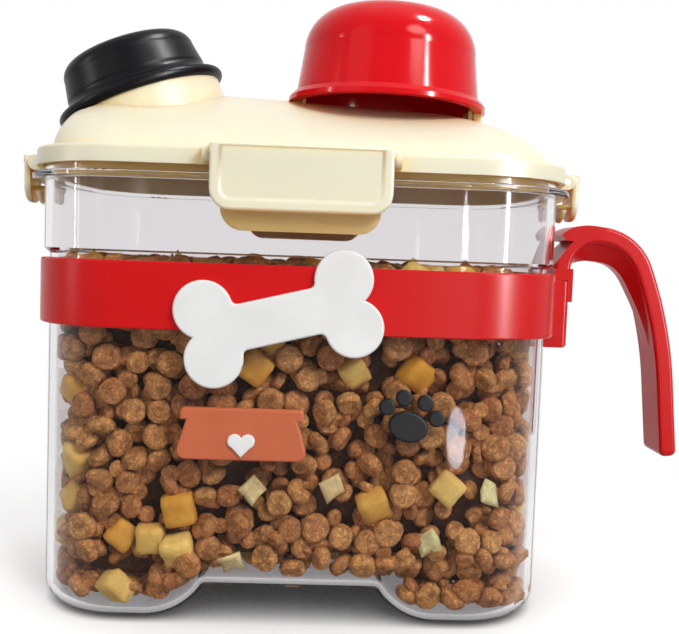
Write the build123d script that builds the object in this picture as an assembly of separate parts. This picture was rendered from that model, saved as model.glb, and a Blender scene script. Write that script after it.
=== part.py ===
from build123d import *
import math
import os

# Dry food keeper: clear tank on two feet, red band with an open hook handle, cream
# hooded lid with four flap latches, a tilted spout under a soft black cap, and a
# 100 ml measuring cup parked upside down on the lid.
# Millimetres. Z is up, X runs to the handle, Y runs to the back. The pieces are drawn
# round the middle of the tank, and moved at the end so that the origin is on the
# floor under the middle of the whole keeper's box.

# Tank plan: flat front and back, gently bowed sides, round corners
half_length = 90.0
half_depth = 54.0
corner_radius = 30.0
side_radius = 134.0

# Tank heights and walls
tank_wall = 2.6
foot_radius = 8.0
shoulder_z = 120.6
shoulder_rise = 1.8
shoulder_step = 1.9
rim_rise = 32.0
flange_drop = 5.0
flange_thickness = 2.3
flange_reach = 5.9
flange_edge = 0.7

# Tunnel between the feet, front to back, with long flares down to the floor
tunnel_reach = 49.0
tunnel_height = 11.0
tunnel_corner = 2.4
flare_radius = 24.5

# Dry food that lies in the tank, heaped a little in the middle
food_gap = 0.3
food_rise = 0.4
food_crown = 3.0

# Band and its handle socket
band_drop = 1.5
band_height = 21.8
band_gap = 0.25
band_thickness = 2.6
band_edge = 0.7
saddle_thickness = 1.5
saddle_half_width = 33.0
saddle_top_drop = 3.0
socket_reach = 9.4
socket_half_width = 13.0
socket_top_drop = 2.6
socket_bottom_drop = 5.6
socket_edge = 2.0
pocket_floor = 2.6
pocket_outer_wall = 1.9

# Handle: a strap with a grip rib on its inner side and a beak over the stem
tongue_thickness = 2.9
tongue_clearance = 0.15
tongue_length = 20.0
strap_width = 19.0
strap_thickness = 6.2
strap_edge = 1.5
stem_rise = 4.4
loop_radius_near = 13.0
loop_radius_far = 19.3
loop_far_angle = 68.0
leg_radius = 153.0
leg_angle = 16.5
leg_length = 28.6
strap_tip_edge = 2.4
rib_depth = 6.8
rib_root = 1.0
rib_end_sink = 0.6
rib_base_width = 17.6
rib_nose_width = 6.0
rib_sections = 12
beak_length = 14.1
beak_rise = 0.3
beak_blend = 3.0
beak_brow_drop = 1.4
beak_tip_drop = 0.5
beak_lip = 1.7
beak_lip_drop = 2.4
notch_depth = 4.6
notch_drop = 2.8
notch_foot = 2.7
notch_foot_drop = 4.7
notch_side = 0.1
notch_side_drop = 8.4
notch_end = 2.5
notch_end_drop = 12.4
lug_length = 8.0
lug_thickness = 1.9

# Lid skirt and deck
lid_skirt_drop = 5.9
gasket_thickness = 1.5
lid_overhang = 4.5
skirt_wall = 1.9
deck_thickness = 1.8
lid_edge = 1.2
plug_clearance = 0.5
plug_wall = 1.7
plug_depth = 7.4

# Dome of the lid
dome_ledge_right = 8.4
dome_ledge_left = 7.5
dome_ledge_front = 7.0
dome_height = 24.0
dome_wall = 2.2
dome_right_inset = 43.2
dome_left_inset = 39.1
dome_right_power = 1.7
dome_left_power = 2.3
dome_front_power = 1.3
dome_ridge_half_depth = 3.0
dome_ridge_tilt = 2.4
dome_corner_share = 0.55
dome_steps = 7

# Spout: everything here is measured along and across the tilted spout axis
spout_inset = 28.2
spout_rise = 23.2
spout_tilt = 21.4
neck_radius = 29.2
neck_wall = 2.4
neck_shoulder = -2.5
neck_shoulder_thickness = 2.0
neck_foot = -13.0
neck_fit = 0.15
collar_radius = 23.6
collar_wall = 2.2
collar_top = 12.0
seat_wall = 2.2
seat_ledge_width = 3.4
seat_ledge_thickness = 1.8
seal_thickness = 1.2

# Soft cap, hat shaped
cap_fit = 0.3
cap_wall = 2.3
cap_crown_height = 18.6
cap_crown_draft = 1.4
cap_crown_edge = 5.8
cap_inner_edge = 2.5
cap_brim_radius = 31.4
cap_brim_rise = 8.2
cap_brim_roll = 4.0
brim_gap = 0.4

# Measuring cup, measured along and across its own axis
cup_inset = 60.0
cup_rise = 22.7
cup_tilt = 1.7
cup_rim_radius = 36.9
cup_mouth_radius = 34.6
cup_crown_radius = 32.1
cup_height = 35.6
cup_crown_edge = 16.0
cup_wall = 1.8
cup_lip_height = 3.4
cup_rim_thickness = 1.6
cup_lip_step = 0.8
crown_rise = 0.7

# Seat of the parked cup on the lid: two pads under its rim and two ribs inside it
seat_lift = 0.15
seat_depth = 8.0
seat_half_width = 6.0
seat_pad_inset = 1.2
seat_rib_height = 1.0
seat_rib_wall = 1.6
seat_rib_gap = 0.4

# Latches: reach is measured outwards from the lid's skirt
hinge_reach = 3.4
hinge_drop = 2.7
barrel_radius = 2.7
pin_radius = 1.0
pin_clearance = 0.06
ear_width = 2.3
ear_gap = 0.25
ear_radius = 2.9
ear_drop = 5.5
latch_reach = 8.6
latch_plate = 2.4
latch_corner = 7.0
latch_edge = 1.1
catch_thickness = 1.8
catch_gap = 0.3
tab_thickness = 1.7
tab_lean = 13.0
front_latch_width = 56.8
front_latch_drop = 20.4
front_tab_width = 50.2
front_tab_drop = 26.5
side_latch_width = 14.0
side_latch_drop = 17.0
side_tab_width = 12.0
side_tab_drop = 17.6

# Soft patches on the front: a bone, a paw print and a bowl with a heart
patch_thickness = 2.2
patch_edge = 0.8
patch_clearance = 0.1
bone_x = -6.0
bone_rise = 4.7
bone_length = 46.0
bone_knob_radius = 9.5
bone_knob_spread = 8.0
bone_shaft_height = 15.0
bone_tilt = 14.0
bone_corner = 2.0
paw_x = 37.0
paw_drop = 29.3
paw_pad_width = 13.0
paw_pad_height = 10.0
paw_toe_radius = 2.7
paw_toe_orbit = 9.6
paw_tilt = -12.0
bowl_x = -17.0
bowl_drop = 33.3
bowl_top_width = 36.0
bowl_bottom_width = 44.0
bowl_height = 17.0
bowl_rim_height = 4.0
heart_size = 4.2
heart_lobe_radius = 2.31
heart_shoulder_drop = 0.9
heart_drop = 5.25
heart_cleft = 1.0
heart_thickness = 1.0
bowl_rim_lip = 2.0
bowl_low_corner = 3.0
bowl_rim_corner = 1.6

# Overlap of the solids that make up one piece
weld = 0.3

# Heights and places that follow from the sizes above
rim_z = shoulder_z + rim_rise
flange_top_z = rim_z - flange_drop
flange_bottom_z = flange_top_z - flange_thickness
lid_under_z = rim_z + gasket_thickness
lid_top_z = lid_under_z + deck_thickness
skirt_bottom_z = lid_top_z - lid_skirt_drop
band_top_z = shoulder_z - band_drop
band_bottom_z = band_top_z - band_height
food_z = shoulder_z + food_rise
spout_x = spout_inset - half_length
spout_z = lid_top_z + spout_rise
cup_x = half_length - cup_inset
cup_rim_z = lid_top_z + cup_rise
bone_z = band_bottom_z + bone_rise
paw_z = band_bottom_z - paw_drop
bowl_z = band_bottom_z - bowl_drop
rim_offset = shoulder_step
plug_offset = rim_offset - tank_wall - plug_clearance
band_offset = band_gap + band_thickness
hinge_z = lid_top_z - hinge_drop
lid_half_length = half_length + lid_overhang
lid_half_depth = half_depth + lid_overhang
catch_reach = flange_reach - lid_overhang + catch_gap
pocket_width = tongue_thickness + 2 * tongue_clearance
seal_foot = neck_foot - seal_thickness


def tank_plan(grow, z):
    """Face of the tank's plan at height z, grown outwards by grow."""
    a = half_length + grow
    b = half_depth + grow
    corner = corner_radius + grow
    side = side_radius + grow
    side_centre = a - side
    corner_y = b - corner
    corner_x = side_centre + math.sqrt((side - corner) ** 2 - corner_y**2)
    turn = math.atan2(corner_y, corner_x - side_centre)
    bend = (turn + math.pi / 2) / 2
    side_end = (side_centre + side * math.cos(turn), side * math.sin(turn))
    corner_mid = (corner_x + corner * math.cos(bend), corner_y + corner * math.sin(bend))
    edges = []
    for sx, sy in ((1, 1), (-1, 1), (-1, -1), (1, -1)):
        ends = [(sx * side_end[0], sy * side_end[1]), (sx * corner_x, sy * b)]
        middle = (sx * corner_mid[0], sy * corner_mid[1])
        edges.append(ThreePointArc(ends[0], middle, ends[1]))
    edges.append(Line((-corner_x, b), (corner_x, b)))
    edges.append(Line((-corner_x, -b), (corner_x, -b)))
    for sx in (1, -1):
        top = (sx * side_end[0], side_end[1])
        low = (sx * side_end[0], -side_end[1])
        edges.append(ThreePointArc(top, (sx * a, 0), low))
    return Pos(0, 0, z) * make_face(Wire(edges))


def plan_block(grow, z_low, z_high):
    """Upright block of the tank's plan between two heights."""
    return extrude(tank_plan(grow, z_low), z_high - z_low)


def plan_ring(outer, inner, z_low, z_high):
    """Upright ring that follows the tank's plan."""
    return plan_block(outer, z_low, z_high) - plan_block(inner, z_low, z_high)


def tunnel_block(grow):
    """Solid that cuts the tunnel: long flares at the floor, round under the ceiling."""
    ceiling = tunnel_height + grow
    flare = flare_radius - grow
    corner = tunnel_corner + grow
    corner_z = tunnel_height - tunnel_corner
    fall = flare_radius - corner_z
    run = math.sqrt((flare_radius + tunnel_corner) ** 2 - fall**2)
    corner_x = tunnel_reach - run
    lean = math.atan2(fall, run)
    foot = (tunnel_reach, grow)
    knee = (tunnel_reach - flare * math.cos(lean), flare_radius - flare * math.sin(lean))
    flare_turn = (lean + math.pi / 2) / 2
    flare_mid = (tunnel_reach - flare * math.cos(flare_turn), flare_radius - flare * math.sin(flare_turn))
    corner_mid = (corner_x + corner * math.cos(flare_turn), corner_z + corner * math.sin(flare_turn))
    edges = [
        Line((0, grow), foot),
        ThreePointArc(foot, flare_mid, knee),
        ThreePointArc(knee, corner_mid, (corner_x, ceiling)),
        Line((corner_x, ceiling), (0, ceiling)),
        Line((0, ceiling), (0, grow)),
    ]
    half = make_face(Wire(edges))
    face = Plane.XZ * (half + mirror(half, Plane.YZ))
    return extrude(face, 2 * half_depth, both=True)


def on_outline(edge, grow):
    """True for an edge of the underside that lies on the plan's outer faces."""
    middle = edge @ 0.5
    ends = [edge @ 0.0, edge @ 1.0]
    front = abs(abs(middle.Y) - (half_depth + grow)) < 0.01
    across = abs(ends[0].X - ends[1].X) < 0.01 and abs(middle.X) < half_length - corner_radius
    return front or (abs(middle.X) > tunnel_reach + 0.5 and not across)


def foot_block(grow, z_low, z_high, edge):
    """Upright body of the plan with the tunnel taken out and its feet rounded."""
    body = plan_block(grow, z_low, z_high)
    body = body - tunnel_block(-grow)
    low = tunnel_height - grow + 0.5
    return fillet([e for e in body.edges() if e.center().Z < low and on_outline(e, grow)], edge)


def tank_shape(grow, z_low, z_high, edge):
    """Body of the tank, or of its hollow: feet, walls, shoulder and neck."""
    low = foot_block(grow, z_low, shoulder_z, edge)
    step_z = shoulder_z + shoulder_rise
    upper = grow + shoulder_step
    neck = loft([tank_plan(grow, shoulder_z).face(), tank_plan(upper, step_z).face()], ruled=True)
    high = plan_block(upper, step_z, z_high)
    return low + neck + high


def make_tank():
    """Clear vessel: feet, tunnel, shoulder, rim and the flange for the latches."""
    outside = tank_shape(0, 0, rim_z, foot_radius)
    hollow = tank_shape(-tank_wall, tank_wall, rim_z, foot_radius - tank_wall)
    flange = plan_block(flange_reach, flange_bottom_z, flange_top_z)
    flange = fillet(flange.edges().filter_by(Plane.XY), flange_edge)
    body = outside + flange
    body = body - hollow
    return body


def heap_block(plane, half_span, half_width):
    """Block under an arched top, drawn in a plane and spread to both of its sides."""
    arch = ThreePointArc((-half_span, food_z), (0, food_z + food_crown), (half_span, food_z))
    low = Polyline(arch @ 1, (half_span, 0), (-half_span, 0), arch @ 0).edges()
    return extrude(plane * make_face(Wire([arch] + low)), half_width, both=True)


def make_food():
    """Loose fill of dry food: the tank's hollow less a gap, up to a heaped top."""
    grow = -(tank_wall + food_gap)
    fill = foot_block(grow, -grow, food_z + food_crown, foot_radius + grow)
    fill = fill & heap_block(Plane.XZ, half_length, half_depth)
    return fill & heap_block(Plane.YZ, half_depth, half_length)


def make_band():
    """Red loop under the shoulder with a thicker saddle and the handle socket."""
    ring = plan_ring(band_offset, band_gap, band_bottom_z, band_top_z)
    levels = ring.faces().sort_by(Axis.Z)
    ring = fillet(levels[0].outer_wire().edges() + levels[-1].outer_wire().edges(), band_edge)
    saddle_low = band_bottom_z + band_edge
    saddle_high = band_top_z - saddle_top_drop
    saddle = plan_ring(band_offset + saddle_thickness, band_gap, saddle_low, saddle_high)
    window = Pos(half_length, 0, (saddle_low + saddle_high) / 2)
    saddle = saddle & (window * Box(2 * corner_radius, 2 * saddle_half_width, band_height))
    socket_low = band_bottom_z - socket_bottom_drop
    socket_high = band_top_z - socket_top_drop
    reach = half_length + band_gap + socket_reach
    block = Box(2 * socket_reach, 2 * socket_half_width, socket_high - socket_low)
    block = Pos(reach - socket_reach, 0, (socket_low + socket_high) / 2) * block
    block = fillet(block.faces().sort_by(Axis.X)[-1].edges(), socket_edge)
    block = block - plan_block(band_gap, socket_low - 1, socket_high + 1)
    pocket_height = socket_high - socket_low - pocket_floor
    pocket_x = reach - pocket_outer_wall - pocket_width / 2
    pocket = Box(pocket_width, strap_width + 2 * tongue_clearance, pocket_height)
    pocket = Pos(pocket_x, 0, socket_high - pocket_height / 2) * pocket
    return ring + saddle + block - pocket


def handle_path():
    """Middle line of the strap in the XZ plane, as lines and tangent arcs."""
    reach = half_length + band_gap + socket_reach
    stem_x = reach - pocket_outer_wall - tongue_clearance - tongue_thickness + strap_thickness / 2
    start_z = band_top_z - socket_top_drop + tongue_clearance
    stem = Line((stem_x, start_z), (stem_x, start_z + stem_rise))
    near = JernArc(stem @ 1, stem % 1, loop_radius_near, -90)
    far = JernArc(near @ 1, near % 1, loop_radius_far, -loop_far_angle)
    leg = JernArc(far @ 1, far % 1, leg_radius, -leg_angle)
    tip = leg @ 1 + (leg % 1) * leg_length
    last = Line(leg @ 1, tip)
    return stem, near, far, leg, last


def across_path(path, share):
    """Plane across the handle's path, its Y axis pointing out of the loop."""
    return Plane(origin=path @ share, x_dir=(0, 1, 0), z_dir=path % share)


def make_grip_rib(path):
    """Rib on the strap's inner side: deep under the top of the loop, fading down the leg."""
    sections = []
    inner = strap_thickness / 2
    for step in range(rib_sections + 1):
        share = step / rib_sections
        depth = (rib_depth + rib_end_sink) * math.sin(math.pi * math.sqrt(share)) ** 1.8 - rib_end_sink
        base = rib_root - inner
        nose = -inner - depth
        wide, narrow = rib_base_width / 2, rib_nose_width / 2
        corners = [(-wide, base), (wide, base), (narrow, nose), (-narrow, nose)]
        sections.append(across_path(path, share) * make_face(Polyline(*corners, close=True)))
    return loft([section.face() for section in sections])


def make_handle():
    """Open hook: tongue in the socket, strap with its grip rib, beak and outer lug."""
    stem, near, far, leg, last = handle_path()
    path = Plane.XZ * Wire([stem, near, far, leg, last])
    section = RectangleRounded(strap_width, strap_thickness, strap_edge)
    strap = sweep(across_path(path, 0) * section, path=path)
    strap = fillet(strap.faces().sort_by(Axis.Z)[0].edges().filter_by(Axis.Y), strap_tip_edge)
    strap = strap + make_grip_rib(Plane.XZ * Wire([near, far, leg]))
    strap = strap - make_notch(near @ 1) + make_beak(near @ 1)
    outer_x = half_length + band_gap + socket_reach
    inner_x = (stem @ 0).X - strap_thickness / 2
    lug_x = outer_x + tongue_clearance + lug_thickness
    start_z = (stem @ 0).Y
    tongue = upright_box(inner_x, inner_x + tongue_thickness, start_z - tongue_length, start_z + stem_rise)
    lug = upright_box(outer_x + tongue_clearance, lug_x, start_z - lug_length, start_z + stem_rise)
    root = upright_box(inner_x, lug_x, start_z, start_z + stem_rise)
    return strap + tongue + lug + root


def upright_box(x_low, x_high, z_low, z_high):
    """Box across the handle's full width."""
    box = Box(x_high - x_low, strap_width, z_high - z_low)
    return Pos((x_low + x_high) / 2, 0, (z_low + z_high) / 2) * box


def beak_points(top):
    """Corners that the beak and the notch under it share: lip and root of the notch."""
    lip = (top.X - beak_length + beak_lip, top.Y - beak_lip_drop)
    root = (top.X - beak_length + notch_depth, top.Y - notch_drop)
    return lip, root


def make_notch(top):
    """Cut in the outer side of the loop, from under the beak down to the stem."""
    lip, root = beak_points(top)
    foot = (top.X - beak_length + notch_foot, top.Y - notch_foot_drop)
    side = (top.X - beak_length + notch_side, top.Y - notch_side_drop)
    end = (top.X - beak_length - notch_end, top.Y - notch_end_drop)
    out = top.X - 2 * beak_length
    front = Polyline(end, (out, end[1]), (out, lip[1]), lip, root).edges()
    face = make_face(Wire([Line(root, foot), ThreePointArc(foot, side, end)] + front))
    return extrude(Plane.XZ * face, strap_width, both=True)


def make_beak(top):
    """Thumb rest: the outer sweep of the loop runs on past the stem and ends in a beak."""
    lip, root = beak_points(top)
    crest = top.Y + strap_thickness / 2
    crown = (top.X + beak_blend, crest - 2 * beak_rise)
    ridge = (top.X - beak_blend, crest + beak_rise)
    brow = (top.X - 0.8 * beak_length, crest - beak_brow_drop)
    tip = (top.X - beak_length, top.Y - beak_tip_drop)
    inside = (top.X, top.Y)
    lower = [Line(tip, lip), Line(lip, root), Line(root, inside), Line(inside, crown)]
    face = make_face(Wire([Spline([crown, ridge, brow, tip])] + lower))
    return extrude(Plane.XZ * face, strap_width / 2, both=True)


def inset_at(share, depth, power):
    """Inward step of the dome's side at a share of its height."""
    return depth * (1 - (1 - share**power) ** (1 / power))


def dome_section(share, shrink, z):
    """One level of the dome: a rounded rectangle, shifted as its ends lean in."""
    base_x = lid_half_length - shrink
    base_y = lid_half_depth - dome_ledge_front - shrink
    right = base_x - dome_ledge_right - inset_at(share, dome_right_inset, dome_right_power)
    left = base_x - dome_ledge_left - inset_at(share, dome_left_inset, dome_left_power)
    depth = base_y - inset_at(share, base_y - dome_ridge_half_depth, dome_front_power)
    middle = (right - left) / 2
    tilt = dome_ridge_tilt * share**2
    sketch = RectangleRounded(right + left, 2 * depth, dome_corner_share * depth)
    return Pos(middle, 0, z) * Rot(0, tilt, 0) * sketch


def dome_solid(shrink, base_z, height):
    """Pillow of the lid, as a loft through level sections."""
    sections = []
    for step in range(dome_steps + 1):
        angle = math.pi / 2 * step / dome_steps
        share = math.sin(angle)
        sections.append(dome_section(min(share, 0.9995), shrink, base_z + height * share).face())
    return loft(sections)


def spout_frame():
    """Plane across the spout axis, its normal pointing out of the spout."""
    lean = math.radians(spout_tilt)
    normal = (-math.sin(lean), 0, math.cos(lean))
    return Plane(origin=(spout_x, 0, spout_z), x_dir=(math.cos(lean), 0, math.sin(lean)), z_dir=normal)


def spout_tube(outer, inner, low, high):
    """Ring or disc on the spout axis between two heights along it."""
    solid = extrude(spout_frame().offset(low) * Circle(outer), high - low)
    if inner:
        solid = solid - extrude(spout_frame().offset(low) * Circle(inner), high - low)
    return solid


def spout_turned(face):
    """Solid of revolution on the spout axis from a face drawn in its XZ plane."""
    turned = revolve(Plane.XZ * face, Axis.Z)
    return spout_frame().location * turned


def cup_frame():
    """Plane of the parked cup's rim."""
    lean = math.radians(cup_tilt)
    normal = (math.sin(lean), 0, math.cos(lean))
    return Plane(origin=(cup_x, 0, cup_rim_z), x_dir=(math.cos(lean), 0, -math.sin(lean)), z_dir=normal)


def cup_disc(radius, low, high):
    """Disc on the parked cup's axis between two heights along it."""
    return extrude(cup_frame().offset(low) * Circle(radius), high - low)


def cup_ring(outer, inner, low, high):
    """Ring on the parked cup's axis between two heights along it."""
    return cup_disc(outer, low, high) - cup_disc(inner, low, high)


def latch_places():
    """Name, turn about Z, distance of the skirt, width and drops of each latch."""
    wide = (front_latch_width, front_latch_drop, front_tab_width, front_tab_drop)
    small = (side_latch_width, side_latch_drop, side_tab_width, side_tab_drop)
    return [
        ("front", 0, lid_half_depth, wide),
        ("right", 90, lid_half_length, small),
        ("back", 180, lid_half_depth, wide),
        ("left", 270, lid_half_length, small),
    ]


def make_ears(width, skirt):
    """Pair of ears on the lid's front edge that hold one latch pin."""
    ears = []
    for side in (1, -1):
        x = side * (width / 2 + ear_gap + ear_width / 2)
        knuckle = Pos(x, -(skirt + hinge_reach), hinge_z) * Rot(0, 90, 0) * Cylinder(ear_radius, ear_width)
        web_depth = hinge_reach + skirt_wall / 2
        web = Box(ear_width, web_depth, ear_drop)
        web = Pos(x, -(skirt + hinge_reach - web_depth / 2), lid_top_z - ear_drop / 2) * web
        above = Box(2 * ear_width, 4 * (hinge_reach + ear_radius), 2 * ear_radius)
        above = Pos(x, -skirt, lid_top_z + ear_radius) * above
        hole = Pos(x, -(skirt + hinge_reach), hinge_z) * Rot(0, 90, 0) * Cylinder(pin_radius, 2 * ear_width)
        ears.append(knuckle + web - above - hole)
    return ears[0] + ears[1]


def make_cup_seat():
    """Pads and ribs on the crest of the dome, left and right, for the parked cup."""
    inner = cup_mouth_radius - cup_wall
    pads = cup_ring(cup_rim_radius - seat_pad_inset, inner, -seat_depth, -seat_lift)
    rib = inner - seat_rib_gap
    ribs = cup_ring(rib, rib - seat_rib_wall, -seat_depth, seat_rib_height)
    crest = Box(3 * cup_rim_radius, 2 * seat_half_width, 2 * cup_height)
    return (pads + ribs) & (Pos(cup_x, 0, cup_rim_z) * crest)


def make_lid_shell():
    """Skirt, deck, plug ring, hollow dome, spout seat, cup seat and latch ears."""
    outer = plan_block(lid_overhang, skirt_bottom_z, lid_top_z)
    outer = fillet(outer.faces().sort_by(Axis.Z)[-1].edges(), lid_edge)
    hollow = plan_block(lid_overhang - skirt_wall, skirt_bottom_z, lid_under_z)
    plug = plan_ring(plug_offset, plug_offset - plug_wall, lid_under_z - plug_depth, lid_under_z)
    dome = dome_solid(0, lid_top_z - weld, dome_height)
    inside = dome_solid(dome_wall, lid_under_z - weld, dome_height - dome_wall + deck_thickness)
    shell = outer - hollow + plug + dome
    shell = shell - cup_disc(cup_rim_radius + 1, -seat_lift, dome_height) + make_cup_seat()
    shell = shell - inside
    seat_radius = neck_radius + neck_fit
    seat = spout_tube(seat_radius + seat_wall, 0, seal_foot - seat_ledge_thickness, neck_shoulder)
    shell = shell + (seat & dome)
    shell = shell - spout_tube(seat_radius, 0, seal_foot, neck_shoulder + dome_height)
    shell = shell - spout_tube(neck_radius - seat_ledge_width, 0, seal_foot - dome_height, seal_foot + 1)
    shell = shell - spout_tube(cap_brim_radius + brim_gap, 0, neck_shoulder - brim_gap, dome_height)
    for name, turn, skirt, (width, drop, tab_width, tab_drop) in latch_places():
        shell = shell + Rot(0, 0, turn) * make_ears(width, skirt)
    return shell


def make_latch(width, drop, tab_width, tab_drop, skirt):
    """Flap on the front edge: barrel, arm, bordered plate, catch shelf and inner tab."""
    face_y = -(skirt + latch_reach)
    low_z = lid_top_z - drop
    plate = Pos(0, face_y + latch_plate / 2, lid_top_z - drop / 2) * Box(width, latch_plate, drop)
    low_corners = [e for e in plate.edges().filter_by(Axis.Y) if e.center().Z < low_z + 0.1]
    plate = fillet(low_corners, min(latch_corner, 0.45 * width))
    plate = fillet(plate.faces().sort_by(Axis.Y)[0].edges(), latch_edge)
    arm_depth = latch_reach - hinge_reach
    arm = Pos(0, face_y + arm_depth / 2, lid_top_z - hinge_drop / 2) * Box(width, arm_depth, hinge_drop)
    barrel = Pos(0, -(skirt + hinge_reach), hinge_z) * Rot(0, 90, 0) * Cylinder(barrel_radius, width)
    shelf_depth = latch_reach - catch_reach
    shelf_z = flange_bottom_z - catch_gap - catch_thickness / 2
    shelf = Pos(0, face_y + shelf_depth / 2, shelf_z) * Box(tab_width, shelf_depth, catch_thickness)
    tab_top = shelf_z + catch_thickness / 2
    tab_height = tab_top - (lid_top_z - tab_drop)
    tab = Pos(0, 0, -tab_height / 2) * Box(tab_width, tab_thickness, tab_height)
    tab_corners = [e for e in tab.edges().filter_by(Axis.Y) if e.center().Z < -0.9 * tab_height]
    tab = fillet(tab_corners, min(latch_corner, 0.45 * tab_width))
    lean = math.radians(tab_lean)
    tab_reach = catch_reach + tab_height * math.sin(lean) + tab_thickness / 2 * math.cos(lean)
    tab = Pos(0, -(skirt + tab_reach), tab_top) * Rot(tab_lean, 0, 0) * tab
    tab = tab - Pos(0, face_y, tab_top + tab_thickness / 2) * Box(tab_width, 4 * latch_reach, tab_thickness)
    bore = Rot(0, 90, 0) * Cylinder(pin_radius + pin_clearance, width + 1)
    return plate + arm + barrel + shelf + tab - Pos(0, -(skirt + hinge_reach), hinge_z) * bore


def make_latch_pin(width, skirt):
    """Plain pin through the ears and the latch barrel."""
    length = width + 2 * (ear_gap + ear_width)
    return Pos(0, -(skirt + hinge_reach), hinge_z) * Rot(0, 90, 0) * Cylinder(pin_radius, length)


def make_gasket():
    """Soft ring between the tank's rim and the lid's deck, held by the plug ring."""
    outer = lid_overhang - skirt_wall
    return plan_ring(outer, plug_offset, rim_z, lid_under_z)


def make_neck():
    """Tilted spout neck: skirt in the lid's seat, shoulder and collar for the cap."""
    skirt = spout_tube(neck_radius, neck_radius - neck_wall, neck_foot, neck_shoulder)
    bore = collar_radius - collar_wall
    shoulder_low = neck_shoulder - neck_shoulder_thickness
    top = spout_tube(neck_radius, bore, shoulder_low, neck_shoulder)
    collar = spout_tube(collar_radius, bore, shoulder_low, collar_top)
    return skirt + top + collar


def make_seal():
    """Soft ring under the neck, on the ledge of the lid's spout seat."""
    return spout_tube(neck_radius, neck_radius - seat_ledge_width, seal_foot, neck_foot)


def crown_arc(reach, z, rise):
    """Shallow arc from (reach, z) to the axis that meets it at a right angle."""
    radius = (reach**2 + rise**2) / (2 * rise)
    centre = z + rise - radius
    half = reach / 2
    middle = (half, centre + math.sqrt(radius**2 - half**2))
    return ThreePointArc((reach, z), middle, (0, z + rise))


def edge_arc(wall, top, radius):
    """Quarter-round edge from a wall at x = wall to a top at z = top."""
    dip = radius * (1 - math.sin(math.pi / 4))
    return ThreePointArc((wall, top - radius), (wall - dip, top - dip), (wall - radius, top))


def make_cap():
    """Hat-shaped soft cap: crown over the collar and a rolled brim on the neck."""
    bore = collar_radius + cap_fit
    crown = bore + cap_wall
    slim = crown - cap_crown_draft
    top = cap_crown_height
    ceiling = top - cap_wall
    low = neck_shoulder
    roll = cap_brim_roll / 2
    brim_top = low + cap_brim_rise
    tip = cap_brim_radius - roll
    shelf = low + cap_brim_roll
    slope = ((tip + crown) / 2 - 0.4, (shelf + brim_top) / 2 - 1.2)
    outline = [
        Line((0, ceiling), (bore - cap_inner_edge, ceiling)),
        edge_arc(bore, ceiling, cap_inner_edge),
        Line((bore, ceiling - cap_inner_edge), (bore, low)),
        Line((bore, low), (tip, low)),
        ThreePointArc((tip, low), (cap_brim_radius, low + roll), (tip, shelf)),
        ThreePointArc((tip, shelf), slope, (crown, brim_top)),
        Line((crown, brim_top), (slim, top - cap_crown_edge)),
        edge_arc(slim, top, cap_crown_edge),
        crown_arc(slim - cap_crown_edge, top, crown_rise),
        Line((0, top + crown_rise), (0, ceiling)),
    ]
    return spout_turned(make_face(Wire(outline)))


def cup_profile(shrink):
    """Half outline of the cup's body, from the axis over the crown to the rim."""
    mouth = cup_mouth_radius - shrink
    crown = cup_crown_radius - shrink
    top = cup_height - shrink
    edge = cup_crown_edge - shrink
    edges = [
        Line((0, 0), (mouth, 0)),
        Line((mouth, 0), (crown, top - edge)),
        edge_arc(crown, top, edge),
        crown_arc(crown - edge, top, crown_rise),
        Line((0, top + crown_rise), (0, 0)),
    ]
    return make_face(Wire(edges))


def make_cup():
    """Measuring cup of 100 ml, mouth down, with a flared lip."""
    body = revolve(Plane.XZ * cup_profile(0), Axis.Z)
    inner = cup_mouth_radius - cup_wall
    lip_corners = [
        (inner, 0),
        (cup_rim_radius, 0),
        (cup_rim_radius, cup_rim_thickness),
        (cup_mouth_radius + cup_lip_step, cup_lip_height),
        (inner, cup_lip_height),
    ]
    lip = revolve(Plane.XZ * make_face(Polyline(lip_corners, close=True)), Axis.Z)
    hollow = revolve(Plane.XZ * cup_profile(cup_wall), Axis.Z)
    hollow = hollow + Pos(0, 0, -cup_wall) * Cylinder(inner, 2 * cup_wall)
    return cup_frame().location * (body + lip - hollow)


def pad(face, x, z, tilt, back_y, thickness):
    """Raised soft patch from a face, its front edge rounded, facing the front."""
    solid = extrude(face, thickness)
    front = solid.faces().sort_by(Axis.Z)[-1]
    solid = fillet(front.edges(), min(patch_edge, thickness * 0.45))
    return Pos(x, back_y, z) * Rot(90, 0, 0) * Rot(0, 0, tilt) * solid


def make_bone():
    """Bone-shaped patch that lies on the band and hangs below it."""
    face = Rectangle(bone_length, bone_shaft_height)
    for sx in (1, -1):
        for sy in (1, -1):
            knob = Circle(bone_knob_radius)
            face = face + Pos(sx * bone_length / 2, sy * bone_knob_spread) * knob
    corners = [v for v in face.vertices() if abs(v.X) < bone_length / 2]
    face = fillet(corners, bone_corner)
    back = -(half_depth + band_offset + patch_clearance)
    return pad(face, bone_x, bone_z, bone_tilt, back, patch_thickness)


def paw_turn(x, z):
    """Place on the front for a point of the paw print, after its tilt."""
    across, up = math.cos(math.radians(paw_tilt)), math.sin(math.radians(paw_tilt))
    return (paw_x + x * across - z * up, paw_z + x * up + z * across)


def make_paw_pad():
    """Large pad of the paw print."""
    face = Ellipse(paw_pad_width / 2, paw_pad_height / 2)
    return pad(face, paw_x, paw_z, paw_tilt, -(half_depth + patch_clearance), patch_thickness)


def make_paw_toes():
    """Four toe pads round the large pad."""
    toes = []
    for angle in (30, 68, 112, 150):
        reach = math.radians(angle)
        x, z = paw_turn(paw_toe_orbit * math.cos(reach), paw_toe_orbit * math.sin(reach))
        toes.append(pad(Circle(paw_toe_radius), x, z, 0, -(half_depth + patch_clearance), patch_thickness))
    return Compound(toes)


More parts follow.
